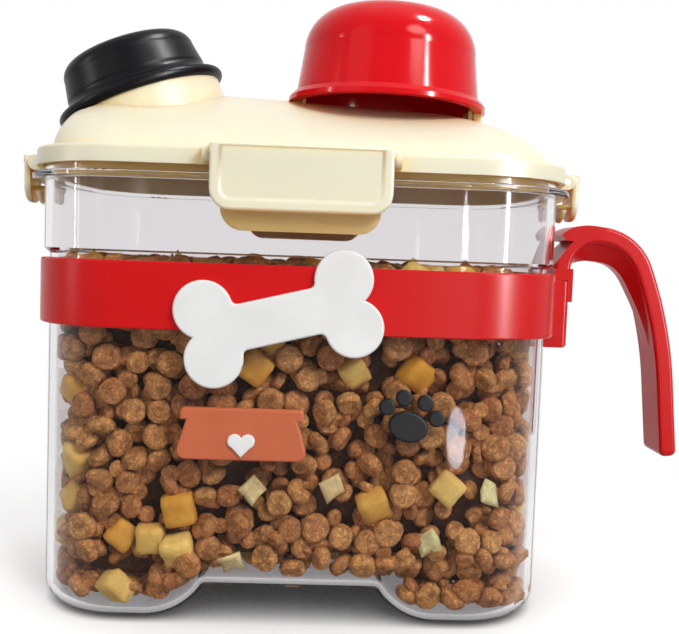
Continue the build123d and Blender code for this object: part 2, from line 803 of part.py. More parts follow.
def make_bowl():
    """Feeding bowl patch: flared foot and a plain rim band."""
    half_top = bowl_top_width / 2
    half_low = bowl_bottom_width / 2
    rim = bowl_height - bowl_rim_height
    lip = half_top + bowl_rim_lip
    right = [(half_low, 0), (half_top, rim), (lip, rim), (lip, bowl_height)]
    left = [(-x, z) for x, z in reversed(right)]
    face = make_face(Polyline(*right, *left, close=True))
    levels = face.vertices().group_by(Axis.Y)
    face = fillet(levels[0], bowl_low_corner)
    levels = face.vertices().group_by(Axis.Y)
    face = fillet(levels[-1], bowl_rim_corner)
    return pad(face, bowl_x, bowl_z - bowl_height / 2, 0, -(half_depth + patch_clearance), patch_thickness)


def make_heart():
    """Small heart on the bowl patch."""
    lobe = Circle(heart_lobe_radius)
    shoulder = (heart_size, -heart_shoulder_drop)
    corners = [(0, heart_cleft), shoulder, (0, -heart_drop), (-shoulder[0], shoulder[1])]
    point = make_face(Polyline(*corners, close=True))
    face = Pos(-heart_size / 2, 0) * lobe + Pos(heart_size / 2, 0) * lobe + point
    back = -(half_depth + patch_clearance + patch_thickness)
    return pad(face, bowl_x, bowl_z - bowl_rim_height / 2, 0, back, heart_thickness)


def build_parts():
    """Every piece of the keeper, by name."""
    parts = {
        "tank": make_tank(),
        "dry_food": make_food(),
        "handle_band": make_band(),
        "handle": make_handle(),
        "lid_shell": make_lid_shell(),
        "lid_gasket": make_gasket(),
        "spout_neck": make_neck(),
        "spout_seal": make_seal(),
        "spout_cap": make_cap(),
        "measuring_cup": make_cup(),
        "patch_bone": make_bone(),
        "patch_paw_pad": make_paw_pad(),
        "patch_paw_toes": make_paw_toes(),
        "patch_bowl": make_bowl(),
        "patch_heart": make_heart(),
    }
    for name, turn, skirt, sizes in latch_places():
        parts["latch_" + name] = Rot(0, 0, turn) * make_latch(*sizes, skirt)
        parts["latch_pin_" + name] = Rot(0, 0, turn) * make_latch_pin(sizes[0], skirt)
    return parts


os.makedirs("parts", exist_ok=True)
keeper = build_parts()
box = Compound(list(keeper.values())).bounding_box()
home = Pos(-box.center().X, -box.center().Y, -box.min.Z)
print("moved by", home.position)
for part_name, shape in keeper.items():
    placed = home * shape
    export_step(placed, f"parts/{part_name}.step")
    print(part_name, len(placed.solids()), round(placed.volume))
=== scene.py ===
import math

import bmesh
import bpy
from mathutils import Matrix, Vector
from mathutils.bvhtree import BVHTree


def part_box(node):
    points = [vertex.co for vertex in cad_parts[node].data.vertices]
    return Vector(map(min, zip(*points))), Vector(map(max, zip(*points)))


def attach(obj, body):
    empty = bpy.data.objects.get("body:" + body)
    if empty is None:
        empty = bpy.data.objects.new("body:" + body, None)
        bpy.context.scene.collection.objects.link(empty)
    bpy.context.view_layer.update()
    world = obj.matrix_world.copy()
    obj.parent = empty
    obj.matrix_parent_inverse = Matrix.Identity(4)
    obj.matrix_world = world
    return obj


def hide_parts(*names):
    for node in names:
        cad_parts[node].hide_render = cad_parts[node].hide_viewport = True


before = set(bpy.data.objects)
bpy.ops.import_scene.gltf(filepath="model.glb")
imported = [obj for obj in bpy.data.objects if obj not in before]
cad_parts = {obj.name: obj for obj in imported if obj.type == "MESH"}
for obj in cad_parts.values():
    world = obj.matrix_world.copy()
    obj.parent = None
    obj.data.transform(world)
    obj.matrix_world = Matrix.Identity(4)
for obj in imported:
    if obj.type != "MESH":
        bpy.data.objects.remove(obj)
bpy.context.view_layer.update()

bl_info = {
    "name": "Dry Food Keeper",
    "version": (1, 0, 0),
    "blender": (4, 5, 0),
    "location": "3D View > Sidebar > Keeper",
    "description": "Finishes a clear dry food keeper and fills it with kibble",
    "category": "Object",
}

KEEPER = "keeper"
SIDES = ("front", "back", "left", "right")
MILLIMETRE = 0.001

# Painted shade on a flap's pull tab: the tab's share of the flap's height, half the width of its edge.
TAB_SHARE = 0.25
TAB_SHADE_BLEND = 0.0006

# Sunken face of a flap: how close corners are merged, how even the face is, steps of a corner, the
# slope as pairs of share inwards and share of the depth, and the angle from which an edge is sharp.
MERGE_DISTANCE = 0.000002
FLATNESS = 0.00001
FLAP_CORNER_STEPS = 8
FLAP_SLOPE = ((0.0, 0.0), (0.25, 0.12), (0.5, 0.5), (0.75, 0.88), (1.0, 1.0))
SHARP_ANGLE = math.radians(34.0)

# Room for the food in the tank's feet: distance of a foot's middle from the tank's middle, heights
# of the foot's floor and roof, and the gap below the bulk of the food.
FOOT_REACH = 0.058
FOOT_FLOOR = 0.0032
FOOT_ROOF = 0.0172
FOOT_GAP = 0.0004

# Rings of the food's outside, points on each ring, and how far its top swells.
BULK_RINGS, BULK_STEPS, BULK_SWELL = 8, 160, 0.003
FOOT_RINGS, FOOT_STEPS = 6, 96

# Loose pieces: flakes' share of the points, with shares past both ends of the draw, a cube's height
# by its width, a flake's thickness without and with its curl, the inner layer's distance from the
# outer one, what the small bits and the inner layer add to the seed, and the numbers of the draws.
LEAST_SHARE, FLAKE_SHARE, MOST_SHARE = -1.0, 0.035, 1.1
CUBE_HEIGHT = 0.75
FLAKE_THICKNESS = 0.001
FLAKE_CURLED = 0.002
INNER_DEPTH = 0.0055
FILL_SHIFT, INNER_SHIFT = 20, 40
SHARE_DRAW, TILT_DRAW, SPIN_DRAW, SIZE_DRAW, TONE_DRAW = range(11, 16)

# Looks of the food: size of the crumbs, roughness, bump, and brightness of its specks and its pits.
KIBBLE_LOOK = {"grain": 0.0011, "roughness": 0.6, "strength": 0.7, "specks": 1.7, "pit": 0.5}
CUBE_LOOK = {"grain": 0.003, "roughness": 0.55, "strength": 0.4, "specks": 1.1, "pit": 0.85}
FLAKE_LOOK = {"grain": 0.002, "roughness": 0.6, "strength": 0.4, "specks": 1.2, "pit": 0.85}

# Stage: half the floor's width, the floor's painted shade by how open it is, the soft light on the
# keeper, the greatest height that lamps aim at, the place of all glints but the long one, and the
# cap's lamp seen from the cap.
FLOOR_REACH = 6.0
FLOOR_PAINTED_SHADE = ((0.3, 0.36), (0.5, 0.76), (0.85, 1.0))
SOFT_LIGHT = 0.4
AIM_HEIGHT = 0.1
GLINT = (0.065, -0.254, 0.025)
CAP_BEAM = (0.45, -0.15, 0.85)


def srgb(red, green, blue):
    """Linear colour of an 8-bit screen colour."""
    linear = []
    for value in (red, green, blue):
        share = value / 255.0
        if share <= 0.04045:
            linear.append(share / 12.92)
        else:
            linear.append(((share + 0.055) / 1.055) ** 2.4)
    return (*linear, 1.0)


def grey(tone):
    """Colour without a tint, from a linear tone."""
    return (tone, tone, tone, 1.0)


WHITE = grey(1.0)
BLACK = grey(0.0)
DIM_SHINE = grey(0.45)


def colour_property(name, description, screen):
    """A colour picker with an 8-bit screen colour as its default."""
    return bpy.props.FloatVectorProperty(
        name=name,
        description=description,
        subtype="COLOR",
        size=4,
        min=0.0,
        max=1.0,
        default=srgb(*screen),
    )


def length_property(name, description, millimetres):
    """A length in metres with a default given in millimetres."""
    return bpy.props.FloatProperty(
        name=name,
        description=description,
        unit="LENGTH",
        default=millimetres * MILLIMETRE,
    )


def number_property(name, description, default, subtype="NONE"):
    """A plain number, share or angle."""
    return bpy.props.FloatProperty(name=name, description=description, subtype=subtype, default=default)


class KeeperColours(bpy.types.PropertyGroup):
    """Colours of the keeper's own pieces."""

    cream: colour_property("Cream", "Lid, spout neck and latches", (248, 235, 209))
    # Painted shade: the tan that the lid and latches take where surfaces stand close.
    cream_painted_shade: colour_property("Cream nook", "Lid and latches where little light gets in", (255, 206, 120))
    # Painted shade: the tan laid on the pull tabs below each flap's edge.
    cream_painted_tab_shade: colour_property("Cream tab", "Pull tabs under the flaps", (222, 182, 118))
    red: colour_property("Red", "Band and handle", (210, 22, 24))
    cup_red: colour_property("Cup red", "Measuring cup", (216, 12, 24))
    black: colour_property("Black", "Soft spout cap", (13, 13, 16))
    clear: colour_property("Clear", "Tank", (237, 235, 236))
    seal: colour_property("Seal", "Gasket and spout seal", (226, 226, 220))
    pin: colour_property("Pin", "Latch pins", (190, 190, 192))
    patch_white: colour_property("Patch white", "Bone and heart patches", (236, 236, 234))
    patch_black: colour_property("Patch black", "Paw print patch", (30, 30, 32))
    patch_brown: colour_property("Patch brown", "Bowl patch", (200, 105, 70))


class KeeperFlaps(bpy.types.PropertyGroup):
    """Sizes of the raised lip round each flap."""

    lip_side: length_property("Lip side", "Width of the lip at the flap's sides, barrels included", 2.5)
    lip_low: length_property("Lip low", "Width of the lip at the flap's lower edge", 1.7)
    lip_high: length_property("Lip high", "Width of the lip at the flap's upper edge", 0.35)
    corner: length_property("Corner", "Corner radius of the sunken face at its lower end", 4.2)
    slope: length_property("Slope", "Width of the slope from the lip down to the sunken face", 1.7)
    depth: length_property("Depth", "How far the face lies below its lip", 0.55)


class KeeperFood(bpy.types.PropertyGroup):
    """Sizes and colours of the dry food in the tank."""

    fill_level: length_property("Fill level", "Height of the food's top at the walls", 119.6)
    wall_gap: length_property("Wall gap", "Gap between the food and the inside of the wall", 0.4)
    kibble_width: length_property("Kibble width", "Across one round piece of kibble", 9.3)
    kibble_thickness: length_property("Kibble thickness", "Through one piece of kibble", 4.5)
    cube_width: length_property("Cube width", "Across one puffed cube", 11.0)
    flake_width: length_property("Flake width", "Across one dried flake", 11.0)
    spacing: length_property("Spacing", "Least distance between neighbouring pieces", 7.3)
    seed: bpy.props.IntProperty(name="Seed", description="Seed of the filling", default=7)
    kibble: colour_property("Kibble", "Round brown pieces", (206, 134, 76))
    cube: colour_property("Cube", "Golden puffed cubes", (250, 178, 56))
    cube_pale: colour_property("Pale cube", "Palest of the puffed cubes", (255, 212, 122))
    flake: colour_property("Flake", "Pale dried flakes", (250, 222, 160))
    cube_share: number_property("Cube share", "Share of the pieces that are flakes or cubes", 0.1, "FACTOR")
    bit_share: number_property("Bit share", "Size of the small bits beside whole kibble", 0.68, "FACTOR")


class KeeperStage(bpy.types.PropertyGroup):
    """Camera, floor and lamps."""

    camera_place: bpy.props.FloatVectorProperty(
        name="Camera place",
        description="Camera position relative to the tank's middle on the floor",
        subtype="TRANSLATION",
        unit="LENGTH",
        default=(0.004295, -0.348526, 0.122274),
    )
    yaw: number_property("Yaw", "Turn to the right", 0.031, "ANGLE")
    pitch: number_property("Pitch", "Turn down", 0.065, "ANGLE")
    roll: number_property("Roll", "Turn about the view", 0.035, "ANGLE")
    focal: number_property("Focal length", "Lens on a 36 mm sensor", 48.381)
    floor: colour_property("Floor", "Pale floor", (244, 244, 244))
    floor_gain: number_property("Floor gain", "How bright the floor shows beside the light on it", 1.6)
    # Painted shadow on the floor: how far it reaches, and its darkest tone deep under the keeper.
    contact_reach: length_property("Contact reach", "How far round the keeper the floor is shaded", 60.0)
    painted_tunnel_shade: number_property("Tunnel tone", "Brightness of the floor deep under the keeper", 0.04)
    floor_bounce: number_property("Floor bounce", "Share of the light that the floor throws back", 0.55)
    # Painted light: the floor seen through the clear tank glows paler, covering part of its painted shadow.
    painted_tank_light: number_property("Clear tone", "Brightness that the clear tank lays on the floor", 0.85)
    painted_tank_light_share: number_property("Clear share", "How much of it covers the floor's shade", 0.42)
    shadow_reach: length_property("Shadow reach", "Distance at which the floor is plain white", 270.0)
    # Share of the floor that glows with its painted shadow instead of being lit by the lamps.
    even_share: number_property("Even share", "Share of the floor's brightness that no lamp shades", 0.6)


def tank_middle():
    """Middle of the tank's plan on the floor, in the frame."""
    low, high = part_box("tank")
    return Vector(((low[0] + high[0]) / 2, (low[1] + high[1]) / 2, 0.0))


def feed(tree, socket, value):
    """Link an input to an output, or give it a plain value."""
    if isinstance(value, bpy.types.NodeSocket):
        tree.links.new(value, socket)
    else:
        socket.default_value = value


def add_node(tree, kind, inputs=None, **settings):
    """A new node: first its settings, then its inputs, each from an output or a plain value."""
    node = tree.nodes.new(kind)
    for key, value in settings.items():
        setattr(node, key, value)
    for key, value in (inputs or {}).items():
        feed(tree, node.inputs[key], value)
    return node


def mix_shaders(tree, share, first, second):
    """Two shaders mixed by the share of the second."""
    return add_node(tree, "ShaderNodeMixShader", {0: share, 1: first, 2: second}).outputs[0]


def direct_sight(tree):
    """Socket that is 1 for camera, reflected and transmitted rays, and 0 for soft light."""
    path = add_node(tree, "ShaderNodeLightPath")
    share = path.outputs["Is Camera Ray"]
    for ray in ("Is Glossy Ray", "Is Transmission Ray"):
        either = add_node(tree, "ShaderNodeMath", {0: share, 1: path.outputs[ray]}, operation="MAXIMUM")
        share = either.outputs[0]
    return share


class Shading:
    """A material under construction, with short ways to add and join its nodes."""

    def __init__(self, name):
        self.material = bpy.data.materials.new(name)
        self.material.use_nodes = True
        self.tree = self.material.node_tree
        self.surface = self.tree.nodes["Principled BSDF"]
        self.place = self.add("ShaderNodeTexCoord").outputs["Object"]

    def add(self, kind, inputs=None, **settings):
        """A new node with its inputs and settings."""
        return add_node(self.tree, kind, inputs, **settings)

    def set(self, **values):
        """Plain values on the surface shader's own sockets."""
        for key, value in values.items():
            self.surface.inputs[key.replace("_", " ")].default_value = value

    def join(self, source, socket):
        """Link an output to one of the surface shader's inputs."""
        self.tree.links.new(source, self.surface.inputs[socket])

    def show(self, shader):
        """Make a shader the material's result."""
        self.tree.links.new(shader, self.tree.nodes["Material Output"].inputs["Surface"])

    def noise(self, size, detail=2.0, roughness=0.5):
        """Noise with features of about the given size in metres."""
        inputs = {"Scale": 1.0 / size, "Detail": detail, "Roughness": roughness, "Vector": self.place}
        return self.add("ShaderNodeTexNoise", inputs).outputs["Fac"]

    def ramp(self, source, stops):
        """Colour ramp of (position, colour) stops."""
        node = self.add("ShaderNodeValToRGB", {"Fac": source})
        band = node.color_ramp
        for index, (position, colour) in enumerate(stops):
            if index < 2:
                stop = band.elements[index]
                stop.position = position
            else:
                stop = band.elements.new(position)
            stop.color = colour
        return node.outputs["Color"]

    def mix_colours(self, share, first, second, blend="MIX"):
        """Two colours mixed by the share of the second."""
        inputs = {0: share, 6: first, 7: second}
        return self.add("ShaderNodeMix", inputs, data_type="RGBA", blend_type=blend).outputs[2]

    def painted_nook_shade(self, reach, open_colour, painted_shade_colour, closed=0.35, clear=0.9, own=False):
        """Painted shade: colour that turns into a shade colour where surfaces, or only its own ones, stand
        close.
        """
        near = self.add("ShaderNodeAmbientOcclusion", {"Distance": reach}, samples=6, only_local=own)
        share = self.ramp(near.outputs["AO"], [(closed, BLACK), (clear, WHITE)])
        return self.mix_colours(share, painted_shade_colour, open_colour)

    def drift(self, source, colour, dark, pale):
        """Base colour that wanders between two shares of its brightness."""
        stops = [(0.3, scaled(colour, dark)), (0.7, scaled(colour, pale))]
        self.join(self.ramp(source, stops), "Base Color")

    def rough(self, source, low, high):
        """Roughness that wanders between two values."""
        inputs = {"Value": source, "To Min": low, "To Max": high}
        self.join(self.add("ShaderNodeMapRange", inputs).outputs["Result"], "Roughness")

    def bump(self, height, strength, distance):
        """Bump from a height."""
        inputs = {"Strength": strength, "Distance": distance, "Height": height}
        self.join(self.add("ShaderNodeBump", inputs).outputs["Normal"], "Normal")


def scaled(colour, share):
    """Colour made darker or paler by a share."""
    return tuple(min(1.0, value * share) for value in colour[:3]) + (1.0,)


def moulded_plastic(name, colour, roughness, waviness=0.05):
    """Injection moulded plastic: faint tone drift, sheen drift and orange peel."""
    shading = Shading(name)
    shading.drift(shading.noise(size=0.05, detail=3.0), colour, dark=0.965, pale=1.0)
    shading.rough(shading.noise(size=0.012, detail=3.0), roughness - 0.05, roughness + 0.05)
    shading.bump(shading.noise(size=0.004), waviness, distance=0.0005)
    shading.set(IOR=1.49, Specular_IOR_Level=0.2)
    return shading


def soft_rubber(name, colour, roughness=0.5):
    """Soft moulded rubber: fine matte grain and dusty tone drift."""
    shading = Shading(name)
    shading.drift(shading.noise(size=0.02, detail=4.0), colour, dark=0.93, pale=1.04)
    grain = shading.noise(size=0.0015, detail=3.0)
    shading.rough(grain, roughness - 0.06, roughness + 0.08)
    shading.bump(grain, strength=0.08, distance=0.0002)
    shading.set(Specular_IOR_Level=0.08)
    return shading


def clear_plastic(name, colour):
    """Clear glossy plastic that lets lamp light and soft light through to the food."""
    shading = Shading(name)
    shading.set(Base_Color=colour, Roughness=0.02, IOR=1.45, Transmission_Weight=1.0)
    shading.set(Specular_Tint=(0.15, 0.15, 0.16, 1.0))
    shading.bump(shading.noise(size=0.03), strength=0.04, distance=0.001)
    through = shading.add("ShaderNodeBsdfTransparent", {"Color": (0.93, 0.93, 0.94, 1.0)})
    path = shading.add("ShaderNodeLightPath")
    shader = shading.surface.outputs["BSDF"]
    for ray in ("Is Diffuse Ray", "Is Shadow Ray"):
        shader = mix_shaders(shading.tree, path.outputs[ray], shader, through.outputs["BSDF"])
    shading.show(shader)
    return shading


def steel(name, colour):
    """Drawn steel wire with fine streaks."""
    shading = Shading(name)
    streak = shading.noise(size=0.0008, detail=4.0)
    shading.rough(streak, low=0.22, high=0.4)
    shading.drift(streak, colour, dark=0.9, pale=1.05)
    shading.set(Metallic=1.0)
    return shading


def dress(nodes, shading):
    """Give CAD nodes one material."""
    for name in nodes:
        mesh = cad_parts[name].data
        mesh.materials.clear()
        mesh.materials.append(shading.material)


class KEEPER_OT_tank(bpy.types.Operator):
    """Finish the clear tank"""

    bl_idname = "keeper.tank"
    bl_label = "Clear Tank"

    def execute(self, context):
        colours = context.scene.keeper_colours
        dress(["tank"], clear_plastic("clear tank plastic", tuple(colours.clear)))
        return {"FINISHED"}


class KEEPER_OT_band(bpy.types.Operator):
    """Finish the red band and its handle"""

    bl_idname = "keeper.band"
    bl_label = "Band and Handle"

    def execute(self, context):
        colours = context.scene.keeper_colours
        red = moulded_plastic("red moulded plastic", tuple(colours.red), roughness=0.3)
        red.set(Specular_Tint=DIM_SHINE)
        dress(["handle_band", "handle"], red)
        return {"FINISHED"}


class KEEPER_OT_lid(bpy.types.Operator):
    """Finish the lid, its latches, the spout neck and the seals"""

    bl_idname = "keeper.lid"
    bl_label = "Lid and Latches"

    def execute(self, context):
        colours = context.scene.keeper_colours
        cream = self.cream_plastic("cream moulded plastic", colours)
        dress(["lid_shell", "spout_neck"], cream)
        dress(["latch_" + side for side in SIDES], self.latch_plastic_with_painted_shade(colours))
        dress(["lid_gasket", "spout_seal"], soft_rubber("pale seal rubber", tuple(colours.seal)))
        dress(["latch_pin_" + side for side in SIDES], steel("pin steel", tuple(colours.pin)))
        return {"FINISHED"}

    def cream_plastic(self, name, colours):
        """Cream plastic that glows a little, with painted tan shade in its nooks."""
        cream = moulded_plastic(name, tuple(colours.cream), roughness=0.32)
        tone = cream.surface.inputs["Base Color"].links[0].from_socket
        # Painted shade: the cream turns tan where other surfaces stand close.
        cream.join(cream.painted_nook_shade(0.014, tone, tuple(colours.cream_painted_shade)), "Base Color")
        cream.set(Subsurface_Weight=0.5, Subsurface_Scale=0.006, Subsurface_Radius=(1.0, 0.55, 0.22))
        return cream

    def latch_plastic_with_painted_shade(self, colours):
        """The same plastic, with painted tan shade on the pull tab under each flap."""
        cream = self.cream_plastic("cream latch plastic with painted tab shade", colours)
        low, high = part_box("latch_front")
        edge = low[2] + (high[2] - low[2]) * TAB_SHARE
        height = cream.add("ShaderNodeSeparateXYZ", {"Vector": cream.place}).outputs["Z"]
        span = {"From Min": edge - TAB_SHADE_BLEND, "From Max": edge + TAB_SHADE_BLEND, "Value": height}
        above = cream.add("ShaderNodeMapRange", span).outputs["Result"]
        tone = cream.surface.inputs["Base Color"].links[0].from_socket
        # Painted shade: below the edge, the tab takes the tan shade colour.
        cream.join(cream.mix_colours(above, tuple(colours.cream_painted_tab_shade), tone), "Base Color")
        return cream


class KEEPER_OT_cap(bpy.types.Operator):
    """Finish the soft cap on the spout"""

    bl_idname = "keeper.cap"
    bl_label = "Spout Cap"

    def execute(self, context):
        colours = context.scene.keeper_colours
        dress(["spout_cap"], soft_rubber("black cap rubber", tuple(colours.black), roughness=0.32))
        return {"FINISHED"}


class KEEPER_OT_cup(bpy.types.Operator):
    """Finish the measuring cup"""

    bl_idname = "keeper.cup"
    bl_label = "Measuring Cup"

    def execute(self, context):
        colours = context.scene.keeper_colours
        colour = tuple(colours.cup_red)
        cup = moulded_plastic("red cup plastic", colour, roughness=0.14, waviness=0.02)
        cup.set(Specular_Tint=DIM_SHINE)
        dress(["measuring_cup"], cup)
        return {"FINISHED"}


class KEEPER_OT_patches(bpy.types.Operator):
    """Finish the soft patches on the front"""

    bl_idname = "keeper.patches"
    bl_label = "Front Patches"

    def execute(self, context):
        colours = context.scene.keeper_colours
        patches = {
            "white": ["patch_bone", "patch_heart"],
            "black": ["patch_paw_pad", "patch_paw_toes"],
            "brown": ["patch_bowl"],
        }
        for tone, nodes in patches.items():
            dress(nodes, soft_rubber(f"{tone} patch rubber", tuple(getattr(colours, "patch_" + tone))))
        return {"FINISHED"}


def place_object(name, mesh):
    """New object at the origin that shows a mesh."""
    piece = bpy.data.objects.new(name, mesh)
    bpy.context.scene.collection.objects.link(piece)
    return piece


def shade_smooth(mesh):
    """Shade all faces of a mesh smooth."""
    mesh.polygons.foreach_set("use_smooth", [True] * len(mesh.polygons))


def mesh_of(name, points, faces):
    """Plain mesh from points and faces, shaded smooth."""
    mesh = bpy.data.meshes.new(name)
    mesh.from_pydata([tuple(point) for point in points], [], faces)
    shade_smooth(mesh)
    mesh.update()
    return mesh


def mesh_from(name, shape):
    """Plain mesh from a finished bmesh, shaded smooth."""
    mesh = bpy.data.meshes.new(name)
    shape.to_mesh(mesh)
    shape.free()
    shade_smooth(mesh)
    return mesh


def keep_result(piece, modifier):
    """Give a piece the plain mesh that its modifier makes, and remove the modifier."""
    seen = piece.evaluated_get(bpy.context.evaluated_depsgraph_get())
    mesh = bpy.data.meshes.new_from_object(seen)
    piece.modifiers.remove(modifier)
    piece.data = mesh


def inner_ring(tank, middle, height, steps, inset):
    """Points on the inside of the tank's wall round an upright line, moved inwards."""
    ring = []
    for step in range(steps):
        angle = 2 * math.pi * step / steps
        aim = Vector((math.cos(angle), math.sin(angle), 0.0))
        spot, normal, _, _ = tank.ray_cast(Vector((middle.x, middle.y, height)), aim)
        if spot is None:
            raise RuntimeError("no wall found round the food")
        ring.append(spot + normal * inset)
    return ring


def ring_tower(rings, swell):
    """Closed tower through rings of equal length, its top swollen upwards."""
    steps = len(rings[0])
    points = [point for ring in rings for point in ring]
    faces = []
    for level in range(len(rings) - 1):
        low = level * steps
        for step in range(steps):
            beside = (step + 1) % steps
            faces.append((low + step, low + beside, low + steps + beside, low + steps + step))
    faces.append(tuple(range(steps - 1, -1, -1)))
    top = len(points) - steps
    crown = sum((Vector(point) for point in rings[-1]), Vector()) / steps
    crown.z += swell
    points.append(crown)
    for step in range(steps):
        faces.append((top + step, top + (step + 1) % steps, len(points) - 1))
    return points, faces


def levels_between(low, high, count):
    """Evenly spaced heights from low to high."""
    return [low + (high - low) * index / (count - 1) for index in range(count)]


def food_towers(food, inset, top_drop=0.0, lift=0.0):
    """Points and faces of the food's outside: the bulk and one tower in each foot."""
    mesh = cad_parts["tank"].data
    tank = BVHTree.FromPolygons([v.co for v in mesh.vertices], [p.vertices for p in mesh.polygons])
    middle = tank_middle()
    points, faces = [], []
    low, roof = FOOT_FLOOR + lift, FOOT_ROOF + lift
    bulk = levels_between(roof, food.fill_level - top_drop, BULK_RINGS)
    towers = [(middle, bulk, BULK_STEPS, BULK_SWELL)]
    for side in (-1, 1):
        foot = middle + Vector((side * FOOT_REACH, 0.0, 0.0))
        towers.append((foot, levels_between(low, roof - FOOT_GAP, FOOT_RINGS), FOOT_STEPS, 0.0))
    for centre, heights, steps, swell in towers:
        rings = [inner_ring(tank, centre, height, steps, inset) for height in heights]
        more_points, more_faces = ring_tower(rings, swell)
        start = len(points)
        points += more_points
        faces += [tuple(start + index for index in face) for face in more_faces]
    return points, faces


def kibble_shape(width, thickness, sides):
    """Round pressed piece with flat faces and a soft rim."""
    half, reach = thickness / 2, width / 2
    # Outline as shares of the radius and of half the thickness.
    outline = [(0.78, 1.0), (1.0, 0.42), (1.0, -0.42), (0.78, -1.0)]
    points = []
    for radius, height in outline:
        for step in range(sides):
            angle = 2 * math.pi * step / sides
            wobble = 1.0 + 0.04 * math.sin(3 * angle + 2 * height)
            across = radius * reach * wobble
            points.append((across * math.cos(angle), across * math.sin(angle), height * half))
    faces = [tuple(range(sides)), tuple(range(len(points) - 1, len(points) - sides - 1, -1))]
    for level in range(len(outline) - 1):
        low = level * sides
        for step in range(sides):
            beside = (step + 1) % sides
            faces.append((low + beside, low + step, low + sides + step, low + sides + beside))
    mesh = mesh_of("kibble", points, faces)
    for face in mesh.polygons[:2]:
        face.use_smooth = False
    return mesh


def rounded_block(name, width, thickness, cuts, pinch, crumple):
    """Puffed block: a cut cube pulled towards a soft pillow and crumpled."""
    power = 6
    shape = bmesh.new()
    bmesh.ops.create_cube(shape, size=2.0)
    bmesh.ops.subdivide_edges(shape, edges=shape.edges[:], cuts=cuts, use_grid_fill=True)
    for vertex in shape.verts:
        x, y, z = vertex.co
        reach = (abs(x) ** power + abs(y) ** power + abs(z) ** power) ** (1 / power)
        round_share = 1.0 / reach
        soft = Vector((x, y, z)) * round_share
        soft *= 1.0 - pinch * (1.0 - max(abs(x), abs(y)) * 0.5)
        wave = crumple * math.sin(3.1 * x + 1.7) * math.cos(2.3 * y + 0.6 * z)
        soft *= 1.0 + wave
        vertex.co = (soft.x * width / 2, soft.y * width / 2, soft.z * thickness / 2)
    return mesh_from(name, shape)


def flake_shape(width):
    """Thin dried flake with a ragged, curled outline."""
    reaches = [1.0, 0.62, 0.95, 0.7, 1.05, 0.58, 0.9, 0.66]
    curls = [0.22, -0.05, 0.16, -0.12, 0.2, 0.05, -0.16, 0.1]
    points = []
    for lift in (FLAKE_THICKNESS / 2, -FLAKE_THICKNESS / 2):
        points.append((0.0, 0.0, lift))
        for share in (0.55, 1.0):
            for step, (reach, curl) in enumerate(zip(reaches, curls)):
                angle = 2 * math.pi * step / len(reaches)
                across = share * reach * width / 2
                height = curl * share**2 * width / 2 + lift
                points.append((across * math.cos(angle), across * math.sin(angle), height))
    count = len(reaches)
    half = 1 + 2 * count
    faces = []
    for step in range(count):
        inner, inner_beside = 1 + step, 1 + (step + 1) % count
        outer, outer_beside = inner + count, inner_beside + count
        faces.append((0, inner, inner_beside))
        faces.append((inner, outer, outer_beside, inner_beside))
        faces.append((half, half + inner_beside, half + inner))
        faces.append((half + inner_beside, half + outer_beside, half + outer, half + inner))
        faces.append((outer, half + outer, half + outer_beside, outer_beside))
    return mesh_of("flake", points, faces)


class Tree:
    """A geometry node tree under construction."""

    def __init__(self, name):
        self.tree = bpy.data.node_groups.new(name, "GeometryNodeTree")
        self.tree.is_modifier = True
        for way in ("INPUT", "OUTPUT"):
            self.tree.interface.new_socket("Geometry", in_out=way, socket_type="NodeSocketGeometry")
        self.start = self.add("NodeGroupInput")
        self.end = self.add("NodeGroupOutput")
        self.sockets = {}

    def input(self, name, kind, default=None):
        """Add a named input and return its output in the tree."""
        socket = self.tree.interface.new_socket(name, in_out="INPUT", socket_type=kind)
        if default is not None:
            socket.default_value = default
        self.sockets[name] = socket.identifier
        return self.start.outputs[name]

    def add(self, kind, inputs=None, **settings):
        """A new node with its inputs and settings."""
        return add_node(self.tree, kind, inputs, **settings)

    def math(self, operation, *numbers):
        """Arithmetic on sockets or numbers."""
        return self.add("ShaderNodeMath", dict(enumerate(numbers)), operation=operation).outputs[0]

    def random(self, low, high, seed, draw):
        """Random number for each point, from a numbered draw of its own."""
        node = self.add("FunctionNodeRandomValue", data_type="FLOAT")
        inputs = {socket.identifier: socket for socket in node.inputs}
        outputs = {socket.identifier: socket for socket in node.outputs}
        feed(self.tree, inputs["Min_001"], low)
        feed(self.tree, inputs["Max_001"], high)
        feed(self.tree, inputs["Seed"], self.math("ADD", seed, draw))
        return outputs["Value_001"]


